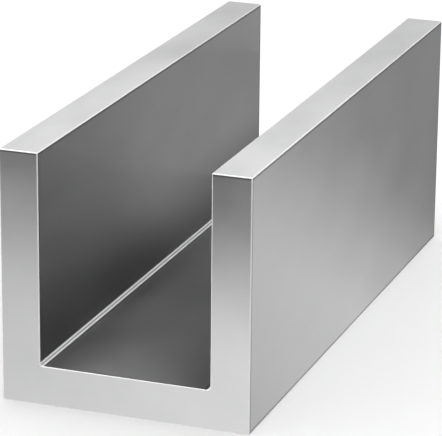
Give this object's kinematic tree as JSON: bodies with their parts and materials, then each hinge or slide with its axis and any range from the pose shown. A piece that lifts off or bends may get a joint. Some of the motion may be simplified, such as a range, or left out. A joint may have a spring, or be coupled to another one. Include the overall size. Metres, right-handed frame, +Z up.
{
  "type": "metal channel section",
  "caption": "Thick-walled square U-channel of ground steel, cut square at the ends, with small inner fillets and lightly broken edges; framing, bracket and machining stock.",
  "frame": {"origin": "middle of the underside of the web, on the surface that the channel stands on", "axes": "+X across the section towards the right flange, +Y along the length away from the front end, +Z up out of the open side"},
  "size_m": [0.1016, 0.254, 0.1016],
  "materials": {
    "ground_steel": "satin ground bright steel, bare, with lightly broken bright edges"
  },
  "bodies": {
    "root": {"channel": "ground_steel"}
  },
  "joints": []
}
